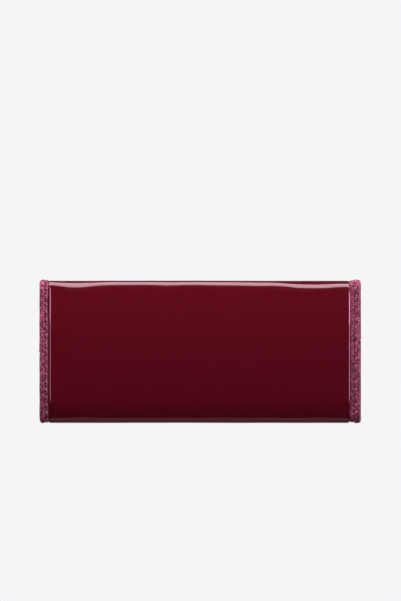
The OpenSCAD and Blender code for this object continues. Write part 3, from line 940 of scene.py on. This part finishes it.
side_run = flap_run(FLAP_LOW, 0.3, 0.25)
thick = ease(SPINE_T, WALL_T, (side_run[:, 0] - BROW[0] + 1.0) / (FOLD_R + 0.5))
strip = edge_strip("edge_strip_flap", side_run, FLAP_LOW, FLAP_Y, 1, thick, 71)
dressed(strip, BINDING_GRAIN_AND_PAINTED_SHADE, "binding_leather", *BROW_BEND)
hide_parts("binding_flap_left", "binding_flap_right", "binding_flap_edge")

side_run = front_run(FRONT_TOP, 0.3, 0.25)[::-1].copy()
side_run[:, 4] = side_run[0, 4] - side_run[:, 4]
thick = ease(BACK_T, WALL_T, (side_run[:, 0] - TOE[0] + 1.0) / (BASE_R + 0.5))
strip = edge_strip("edge_strip_front", side_run, FRONT_TOP, FRONT_Y, -1, thick, 81)
dressed(strip, BINDING_GRAIN_AND_PAINTED_SHADE, "binding_leather", *TOE_BEND)
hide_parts("binding_front_left", "binding_front_right", "binding_front_top")

# ---------------------------------------------------------------- stitches


def capsule(centre, along, out, length, radius, uv_at):
    """One stitch: a round-ended rod lying along `along`, pressed a little flat towards `out`."""
    along = np.array(along, float) / np.linalg.norm(along)
    out = np.array(out, float)
    wide = np.cross(along, out)
    rings, seg = [], 10
    for i in range(9):
        t = -1 + 2 * i / 8
        r = radius * math.sqrt(max(1 - abs(t) ** 3.2, 0.02))
        rings.append((t * length / 2, r))
    verts, uvs = [], []
    for t, r in rings:
        for j in range(seg):
            a = 2 * math.pi * j / seg
            rim = wide * r * math.cos(a) + out * r * 0.85 * math.sin(a)
            verts.append(np.array(centre) + along * t + rim)
            uvs.append((uv_at + j * 0.2, t))
    return verts, tube_faces(len(rings), seg), uvs


def stitches(name, lines):
    """lines: rows of (point, direction, outward) for each stitch."""
    parts = []
    for i, (p, d, o) in enumerate(lines):
        parts.append(capsule(p, d, o, STITCH_LENGTH, STITCH_R, i * 3.7))
    return merged(name, parts)


def side_stitches(run, side, lift=0.10, inset=STITCH_IN):
    out = []
    for s in stitch_centres(run[-1, 4]):
        row = [np.interp(s, run[:, 4], run[:, c]) for c in range(4)]
        p = (side * (HALF_W - inset), row[0] + lift * row[2], row[1] + lift * row[3])
        along = (STITCH_LEAN * side, row[3], -row[2])
        out.append((p, along, (0, row[2], row[3])))
    return out


run = back_run(0.5, 0.3)
piece = stitches("stitches_back", side_stitches(run, -1, THREAD_LIFT[-1], THREAD_AT[-1])
                 + side_stitches(run, 1, THREAD_LIFT[1], THREAD_AT[1]))
dressed(piece, THREAD, "thread", *NAPE_BEND)
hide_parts("back_stitching")


def cross_stitches(z, y, lift=0.05):
    count = int(2 * (FACE_X - 0.5) / STITCH_PITCH)
    middles = [(i + 0.5 - count / 2) * STITCH_PITCH for i in range(count)]
    return [((x, y + lift, z), (1, 0, 0.16), (0, 1, 0)) for x in middles]


run = flap_run(FLAP_LOW + STITCH_IN, 0.5, 0.3)
piece = stitches("stitches_flap", side_stitches(run, -1) + side_stitches(run, 1)
                 + cross_stitches(FLAP_LOW + STITCH_IN, FLAP_Y))
dressed(piece, THREAD, "thread", *BROW_BEND)
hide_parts("flap_stitching")

run = front_run(FRONT_TOP - STITCH_IN, 0.5, 0.3)
piece = stitches("stitches_front", side_stitches(run, -1) + side_stitches(run, 1)
                 + cross_stitches(FRONT_TOP - STITCH_IN, FRONT_Y))
dressed(piece, THREAD, "thread", *TOE_BEND)
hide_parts("front_stitching")

# ---------------------------------------------------------------- card leaves


def card_leaf(node, facing, body):
    """A pocket leaf with a turned top hem and a sewn line down the middle."""
    low, high = corners(node)
    x = np.unique(np.concatenate([np.linspace(low[0], high[0], 115), np.arange(-1.6, 1.7, 0.2)]))
    t = (high[1] - low[1]) / 2
    mid = (high[1] + low[1]) / 2
    near_top = high[2] - np.array([5.1, 4.9, 4.6, 3.0, 1.4, 0.7, 0.35, 0.12])
    z = np.concatenate([np.linspace(low[2], high[2] - 5.4, 14), near_top])
    hem = np.where(z > high[2] - 5.0, 0.09, 0.0)
    tip = np.clip(1 - ((z - (high[2] - 0.6)) / 0.6).clip(0, 1) ** 2, 0.05, 1) ** 0.5
    half = (t - 0.06 + hem * 0.6) * tip
    zz = np.concatenate([z, [high[2]], z[::-1]])
    yy = np.concatenate([half, [0.0], -half[::-1]])
    loops = np.zeros((len(x), len(zz), 3))
    loops[:, :, 0] = x[:, None]
    groove = np.exp(-((x / 0.5) ** 2))[:, None] * 0.16
    loops[:, :, 1] = mid + facing * (yy[None, :] * (1 - groove))
    loops[:, :, 1] += 0.02 * waves(x[:, None], zz[None, :], 7, 40.0)
    loops[:, :, 2] = zz[None, :]
    u = np.repeat(x[:, None], len(zz), axis=1)
    v = np.repeat(zz[None, :], len(x), axis=0)
    obj = sharp_edges(solid_from("pocket_" + node, loops, (v, u)), 50)
    dressed(obj, INNER, "inner_leather", body)
    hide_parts(node)


for i in (1, 2, 3):
    card_leaf("rear_card_leaf_%d" % i, 1, "shell")
for i in (1, 2):
    card_leaf("front_card_leaf_%d" % i, -1, "front_wall")

# ---------------------------------------------------------------- gussets


def gusset(side, word):
    """A pleated side wall that folds in and out twice between the back and the front."""
    low, high = corners("gusset_" + word)
    out_x, in_x = HALF_W - 2.2, FACE_X - 4.2
    y0, y1 = BACK_IN + 0.35, FRONT_IN - 0.35
    mid = (y0 + y1) / 2
    path = np.array([[out_x, y0], [in_x, (y0 + mid) / 2], [out_x, mid], [in_x, (mid + y1) / 2], [out_x, y1]])
    fine = []
    for i in range(4):
        for t in np.linspace(0, 1, 12, endpoint=False):
            fine.append(path[i] + (path[i + 1] - path[i]) * (0.5 - 0.5 * math.cos(math.pi * t)) * [1, 0]
                        + (path[i + 1] - path[i]) * t * [0, 1])
    fine.append(path[-1])
    fine = np.array(fine)
    d = np.gradient(fine, axis=0)
    d /= np.linalg.norm(d, axis=1)[:, None]
    nrm = np.stack([-d[:, 1], d[:, 0]], 1) * 0.3
    z = np.concatenate([np.linspace(low[2], high[2] - 0.3, 40), [high[2] - 0.08, high[2]]])
    loops = np.zeros((len(z), 2 * len(fine), 3))
    shrink = np.where(z > high[2] - 0.05, 0.4, np.where(z > high[2] - 0.2, 0.85, 1.0))
    for i, zz in enumerate(z):
        r = np.vstack([fine + nrm * shrink[i], (fine - nrm * shrink[i])[::-1]])
        loops[i, :, 0] = side * r[:, 0]
        loops[i, :, 1] = r[:, 1]
        loops[i, :, 2] = zz
    run_length = np.concatenate([[0], np.cumsum(np.linalg.norm(np.diff(fine, axis=0), axis=1))])
    u = np.tile(np.concatenate([run_length, run_length[::-1]]), (len(z), 1))
    v = np.repeat(z[:, None], 2 * len(fine), axis=1)
    obj = solid_from("side_gusset_" + word, loops, (u, v))
    dressed(obj, INNER, "inner_leather", "shell", "front_wall", (0, y0, 0), (0, y1, 0))
    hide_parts("gusset_" + word)


gusset(-1, "left")
gusset(1, "right")

# ---------------------------------------------------------------- coin purse


def rounded_box(hx, hy, r, seg=6):
    """The outline of a box with round corners, its straight sides cut about every 3 mm."""
    pts = []
    ix, iy = hx - r, hy - r
    for cx, cy, a0 in ((ix, iy, 0), (-ix, iy, 90), (-ix, -iy, 180), (ix, -iy, 270)):
        for i in range(seg + 1):
            a = math.radians(a0 + 90 * i / seg)
            pts.append((cx + r * math.cos(a), cy + r * math.sin(a)))
    out = []
    for i in range(len(pts)):
        p, q = np.array(pts[i]), np.array(pts[(i + 1) % len(pts)])
        count = max(1, int(np.linalg.norm(q - p) / 3.0))
        for t in np.arange(count) / count:
            out.append(p + (q - p) * t)
    return np.array(out)


def coin_purse():
    """The purse as one turned-in pouch. Returns its middle in Y and half its thickness."""
    low, high = corners("purse_rear_wall")
    y1 = corners("purse_front_wall")[1][1]
    mid_y, half_y = (low[1] + y1) / 2, (y1 - low[1]) / 2
    half_x = high[0]
    z0, z1 = low[2], high[2]
    wall = 0.9
    steps = [(z0, 1.6), (z0 + 0.25, 0.7), (z0 + 0.8, 0.2), (z0 + 1.6, 0.0)]
    steps += [(z, 0.0) for z in np.linspace(z0 + 3, z1 - 6.2, 12)]
    steps += [(z1 - 5.2, 0.0), (z1 - 5.0, -0.04), (z1 - 4.6, -0.06), (z1 - 0.9, -0.06)]
    steps += [(z1 - 0.35, 0.05), (z1 - 0.08, 0.25), (z1, 0.45)]
    steps += [(z1 - 0.1, 0.75), (z1 - 0.4, 0.9), (z1 - 1.5, wall)]
    steps += [(z, wall) for z in np.linspace(z1 - 6, z0 + 4, 8)] + [(z0 + 1.6, wall), (z0 + 1.0, wall + 0.5)]
    loops = []
    for z, inset in steps:
        ring = rounded_box(half_x - inset, half_y - inset, max(min(1.6, half_y - inset - 0.1), 0.3))
        loops.append(np.column_stack([ring[:, 0], mid_y + ring[:, 1], np.full(len(ring), z)]))
    count = min(len(loop) for loop in loops)
    fixed = []
    for loop in loops:
        closed = np.vstack([loop, loop[:1]])
        d = np.concatenate([[0], np.cumsum(np.linalg.norm(np.diff(closed, axis=0), axis=1))])
        t = np.linspace(0, d[-1], count + 1)[:-1]
        fixed.append(np.column_stack([np.interp(t, d, closed[:, c]) for c in range(3)]))
    loops = np.array(fixed)
    around = np.linspace(0, 360, count, endpoint=False)
    depth = np.concatenate([[0], np.cumsum(np.abs(np.diff([s[0] for s in steps])))])
    u = np.tile(around, (len(steps), 1))
    v = np.repeat(depth[:, None], count, axis=1)
    obj = solid_from("coin_purse_body", loops, (u, v))
    dressed(obj, INNER, "inner_leather", "coin_purse")
    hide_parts("purse_rear_wall", "purse_front_wall", "purse_base", "purse_end_left",
                "purse_end_right", "purse_lining")
    return mid_y, half_y


PURSE_Y, PURSE_HALF = coin_purse()
TAPE_EDGE = 1.6                    # from the purse's middle to each tape's inner edge
TOOTH_W = 1.0
TOOTH_LENGTH = 2.1
TOOTH_PITCH = 2.2


def parts_with_zip(obj):
    """Gives this piece a mesh of its own."""
    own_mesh(obj)


def zip_tape(node, sign):
    low, high = corners(node)
    wall_y = PURSE_Y + sign * (PURSE_HALF - 0.25)
    edge_y = PURSE_Y + sign * TAPE_EDGE
    x = np.linspace(low[0] + 1.2, high[0] - 1.2, 150)
    z = (low[2] + high[2]) / 2
    y = np.linspace(0, 1, 7)
    top = np.full(len(y), 0.22)
    top[-1] = 0.10
    bead = 0.10 * np.exp(-(((y - 0.82) / 0.12) ** 2))
    yy = np.concatenate([wall_y + (edge_y - wall_y) * y, (wall_y + (edge_y - wall_y) * y)[::-1]])
    zz = np.concatenate([z + top + bead, (z - top)[::-1]])
    loops = np.zeros((len(x), len(yy), 3))
    loops[:, :, 0] = x[:, None]
    loops[:, :, 1] = yy[None, :]
    loops[:, :, 2] = zz[None, :] + 0.05 * waves(x[:, None], yy[None, :], 91, 25.0)
    u = np.repeat(x[:, None], len(yy), axis=1)
    v = np.tile(np.concatenate([y, y[::-1]]) * 3.0, (len(x), 1))
    obj = sharp_edges(solid_from(node + "_cloth", loops, (v, u)), 50)
    dressed(obj, TAPE, "lining_cloth", "coin_purse")
    parts_with_zip(obj)
    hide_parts(node)


# A tooth's section: X as a share of its half width, Z as a share of its height, chamfered past 0 and 1.
TOOTH_RING = [(-1, 0.0), (-0.8, -0.18), (0.8, -0.18), (1, 0.0), (1, 1.0), (0.7, 1.12), (-0.7, 1.12),
              (-1, 1.0)]


def tooth(x0, width, y0, sign, length, z0, height, uv_at):
    """One zip tooth: a shank out of the tape, a waist and a rounded head with a nib on top."""
    prof = [(0.0, 0.50), (0.25, 0.50), (0.50, 0.36), (0.68, 0.50), (0.90, 0.44), (1.0, 0.22)]
    verts, uvs = [], []
    mid = x0 + width / 2
    for f, w in prof:
        y = y0 + sign * length * f
        lift = 0.08 if 0.6 < f < 0.95 else 0.0
        for share, dz in TOOTH_RING:
            dx = share * w
            inside = min(max(dz, 0.0), 1.0)
            z = z0 + height * inside + (dz - inside) * 0.5 + lift * (dz > 0.5)
            verts.append((mid + dx * width, y, z))
            uvs.append((uv_at + dx, f * 3))
    return verts, tube_faces(len(prof), len(TOOTH_RING)), uvs


def zip_teeth(node, sign):
    low, high = corners(node)
    count = int(round((high[0] - low[0] - TOOTH_W) / TOOTH_PITCH)) + 1
    y0 = PURSE_Y + sign * TAPE_EDGE
    z0, height = low[2] + 0.1, high[2] - low[2] - 0.2
    obj = merged(node + "_metal", [
        tooth(low[0] + i * TOOTH_PITCH, TOOTH_W, y0, -sign, TOOTH_LENGTH, z0, height, i * 2.0)
        for i in range(count)])
    face_outwards(obj.data)
    sharp_edges(obj, 45)
    dressed(obj, GOLD, "gold_metal", "coin_purse")
    parts_with_zip(obj)
    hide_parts(node)


for node, sign in (("rear", -1), ("front", 1)):
    zip_tape("zip_tape_" + node, sign)
    zip_teeth("zip_teeth_" + node, sign)

# ---------------------------------------------------------------- press stud and zip hardware


def turned(name, node, profile, body, y0, seg=64):
    """A lathe piece on the stud's axis. profile: [radius, height] in mm, where height is Y from y0."""
    low, high = corners(node)
    cx, cz = (low[0] + high[0]) / 2, (low[2] + high[2]) / 2
    loops = np.zeros((len(profile), seg, 3))
    a = np.linspace(0, 2 * math.pi, seg, endpoint=False)
    for i, (r, h) in enumerate(profile):
        loops[i, :, 0] = cx + r * np.cos(a)
        loops[i, :, 1] = y0 + h
        loops[i, :, 2] = cz + r * np.sin(a)
    u = np.tile(a * 3, (len(profile), 1))
    v = np.repeat(np.array([[p[0]] for p in profile]), seg, axis=1)
    obj = sharp_edges(solid_from(name, loops, (u, v)), 50)
    dressed(obj, GOLD, "gold_metal", body)
    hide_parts(node)


cap_r = (corners("snap_cap")[1][0] - corners("snap_cap")[0][0]) / 2
cap_h = corners("snap_cap")[1][1] - FLAP_Y
rim_h = 0.66
cap = [(cap_r - 0.25, 0.15), (cap_r - 0.05, 0.28), (cap_r, 0.45), (cap_r - 0.10, 0.62), (cap_r - 0.40, 0.72),
       (cap_r - 0.65, rim_h), (cap_r - 0.85, rim_h)]
cap += [((cap_r - 1.0) * math.cos(t), rim_h + (cap_h - rim_h) * math.sin(t))
        for t in np.linspace(0.12, 1.45, 12)]
turned("snap_button", "snap_cap", cap + [(0.05, cap_h)], "flap", FLAP_Y)
socket = [(4.6, 1.0), (4.95, 0.7), (5.0, 0.35), (4.8, 0.12), (4.3, 0.02), (3.6, 0.0), (3.1, 0.08),
          (2.85, 0.3), (2.8, 0.7), (2.3, 0.78), (0.05, 0.78)]
turned("snap_socket_ring", "snap_socket", socket, "flap", corners("snap_socket")[0][1])
stud_top = corners("snap_stud")[1][1] - FRONT_Y
stud = [(4.3, 0.0), (4.5, 0.15), (4.4, 0.34), (3.9, 0.42), (2.6, 0.44), (1.9, 0.55), (1.7, 0.8),
        (1.75, stud_top - 0.7), (1.98, stud_top - 0.5), (1.98, stud_top - 0.3), (1.8, stud_top - 0.1),
        (1.4, stud_top), (0.05, stud_top)]
turned("snap_stud_head", "snap_stud", stud, "front_wall", FRONT_Y)
washer = [(3.9, 0.3), (4.0, 0.15), (3.9, 0.02), (3.4, -0.02), (1.4, 0.0), (1.1, 0.12), (0.7, 0.16),
          (0.05, 0.16)]
turned("snap_post_washer", "snap_post", washer, "front_wall", FRONT_IN)


def repainted(material, *nodes):
    """CAD nodes whose shape stays and whose material is made here."""
    for node in nodes:
        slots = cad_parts[node].data.materials
        slots.clear()
        slots.append(material)


repainted(GOLD_CAD, "zip_top_stop", "zip_bottom_stop", "zip_slider", "zip_puller")
repainted(BOARD, "back_foam", "back_board", "flap_board", "front_board")

# ---------------------------------------------------------------- camera, light and floor

PALE = (0.913, 0.913, 0.930, 1)
DISTANCE = 1.5                     # metres from the camera to the back
FRAME_H = 0.3555                   # metres that the picture's height takes in there
EYE_X = 0.0003
EYE_Z = 0.07267
camera = bpy.data.cameras.new("camera")
camera.sensor_width = 36.0
camera.lens = camera.sensor_width * DISTANCE / FRAME_H
camera.clip_start = 0.05
eye = placed("camera", camera)
eye.location = (EYE_X, BACK_Y * 0.001 - DISTANCE, EYE_Z)
eye.rotation_euler = (math.radians(90), 0, 0)
bpy.context.scene.camera = eye
bpy.context.scene.view_settings.view_transform = "Standard"
bpy.context.scene.view_settings.look = "None"


def softbox(name, place, look_at, size, radiance, colour, kind):
    """An area light of an even radiance, facing a point. kind is what it reaches: "diffuse" or "glossy"."""
    lamp = bpy.data.lights.new(name, "AREA")
    lamp.shape = "RECTANGLE"
    lamp.size, lamp.size_y = size
    lamp.energy = radiance * math.pi * size[0] * size[1]
    lamp.color = colour
    obj = placed(name, lamp)
    obj.location = place
    direction = Vector(look_at) - Vector(place)
    obj.rotation_euler = direction.to_track_quat("-Z", "Y").to_euler()
    obj.visible_camera = False
    obj.visible_diffuse = kind == "diffuse"
    obj.visible_glossy = kind == "glossy"


# The diffuse lights bring out the leather's own colour, and the lacquer mirrors the glossy ones.
NEUTRAL = (1.0, 0.98, 1.0)
PINK = (1.0, 0.56, 0.78)
BACK_AIM, FRONT_AIM = (0, -0.014, 0.05), (0, 0.014, 0.04)
softbox("top_box", (0, -0.061, 0.25), (0, -0.061, 0), (0.7, 0.192), 8.9, (1.0, 0.73, 0.81), "glossy")
softbox("back_fill", (0, -0.16, 0.19), BACK_AIM, (0.7, 0.06), 6.2, NEUTRAL, "diffuse")
softbox("front_fill", (0, 0.30, 0.22), FRONT_AIM, (0.6, 0.12), 5.0, NEUTRAL, "diffuse")
for side in (-1, 1):
    softbox("front_glow", (side * 0.50, 0.75, 0.35), FRONT_AIM, (0.35, 0.35), 2.2, (1.0, 0.98, 0.95),
            "glossy")
softbox("under_fill", (0, 0, -0.8), (0, 0, 0), (1.0, 1.0), 0.25, (1, 1, 1), "diffuse")
for side, flank, edge in ((-1, 3.6, 6.6), (1, 2.6, 20.0)):
    softbox("side_box", (side * 0.95, 0.02, 0.06), (0, 0.02, 0.06), (0.60, 0.50), flank, (1.0, 0.86, 1.06),
            "diffuse")
    # These two draw the bright line beside each back binding.
    for name, z, tall, gain in (("edge_box", 0.03, 0.28, 1.0), ("edge_box_high", 0.125, 0.09, 1.4)):
        softbox(name, (side * 0.655, -0.58, z), (side * 0.089, -0.014, 0.04), (0.26, tall), edge * gain, PINK,
                "glossy")
    softbox("front_edge_box", (side * 0.655, 0.58, 0.05), (side * 0.089, 0.014, 0.04), (0.20, 0.60), 1.6,
            (1.0, 0.84, 0.90), "glossy")

# The room behind the lights, from straight down (0) to straight up (1). It is dark but for a dull glow
# from below, red towards the back and grey towards the front. The camera sees it plain and pale.
BACK_ROOM = [(0.0, (0.38, 0.14, 0.18)), (0.02, (0.48, 0.16, 0.21)), (0.05, (0.80, 0.23, 0.32)),
             (0.100, (0.90, 0.25, 0.36)), (0.122, (0.02, 0.02, 0.02)), (0.50, (0.01, 0.01, 0.01)),
             (1.0, (0.03, 0.03, 0.03))]
FRONT_ROOM = [(0.0, (0.20, 0.17, 0.17)), (0.20, (0.24, 0.22, 0.21)), (0.38, (0.22, 0.20, 0.19)),
              (0.50, (0.02, 0.02, 0.02)), (1.0, (0.03, 0.03, 0.03))]
ROOM_STRENGTH = 1.6

world = bpy.data.worlds.new("studio")
bpy.context.scene.world = world
world.use_nodes = True
world.cycles_visibility.diffuse = False
tree = world.node_tree
tree.nodes.clear()
link = tree.links.new


def scaled(source, low, high):
    node = tree.nodes.new("ShaderNodeMapRange")
    node.inputs[1].default_value = low
    node.inputs[2].default_value = high
    link(source, node.inputs[0])
    return node.outputs[0]


def gradient(height, stops):
    node = tree.nodes.new("ShaderNodeValToRGB")
    set_stops(node.color_ramp, stops)
    link(height, node.inputs[0])
    return node.outputs[0]


place = tree.nodes.new("ShaderNodeTexCoord")
split = tree.nodes.new("ShaderNodeSeparateXYZ")
link(place.outputs["Generated"], split.inputs[0])
height = scaled(split.outputs[2], -1.0, 1.0)
blend = tree.nodes.new("ShaderNodeMix")
blend.data_type = "RGBA"
link(scaled(split.outputs[1], 0.0, 0.4), blend.inputs[0])
link(gradient(height, BACK_ROOM), blend.inputs[6])
link(gradient(height, FRONT_ROOM), blend.inputs[7])
room = tree.nodes.new("ShaderNodeBackground")
room.inputs[1].default_value = ROOM_STRENGTH
link(blend.outputs[2], room.inputs[0])
pale = tree.nodes.new("ShaderNodeBackground")
pale.inputs[0].default_value = PALE
path = tree.nodes.new("ShaderNodeLightPath")
mix = tree.nodes.new("ShaderNodeMixShader")
link(path.outputs["Is Camera Ray"], mix.inputs[0])
link(room.outputs[0], mix.inputs[1])
link(pale.outputs[0], mix.inputs[2])
out = tree.nodes.new("ShaderNodeOutputWorld")
link(mix.outputs[0], out.inputs[0])

FLOOR_Z = -0.0004                  # metres, just clear of the bindings


def floor():
    """A plain disc in the background's own pale colour, so that it has no edge. It casts no light."""
    bm = bmesh.new()
    around = 24
    centre = bm.verts.new((0, 0, 0))
    last = None
    turns = [2 * math.pi * i / around for i in range(around)]
    for r in (0.1, 0.2, 0.35, 0.6, 1.0, 2.0, 4.0):
        ring = [bm.verts.new((r * math.cos(a), r * math.sin(a), 0)) for a in turns]
        for i in range(around):
            j = (i + 1) % around
            if last is None:
                bm.faces.new((centre, ring[i], ring[j]))
            else:
                bm.faces.new((last[i], ring[i], ring[j], last[j]))
        last = ring
    mesh = bpy.data.meshes.new("floor")
    bm.to_mesh(mesh)
    bm.free()
    obj = placed("floor", mesh)
    mat = bpy.data.materials.new("floor")
    mat.use_nodes = True
    t = mat.node_tree
    t.nodes.clear()
    end = t.nodes.new("ShaderNodeOutputMaterial")
    glow = t.nodes.new("ShaderNodeEmission")
    glow.inputs[0].default_value = PALE
    t.links.new(glow.outputs[0], end.inputs[0])
    mesh.materials.append(mat)
    obj.visible_glossy = False
    obj.visible_diffuse = False
    obj.visible_shadow = False
    obj.location = (0, 0, FLOOR_Z)


floor()
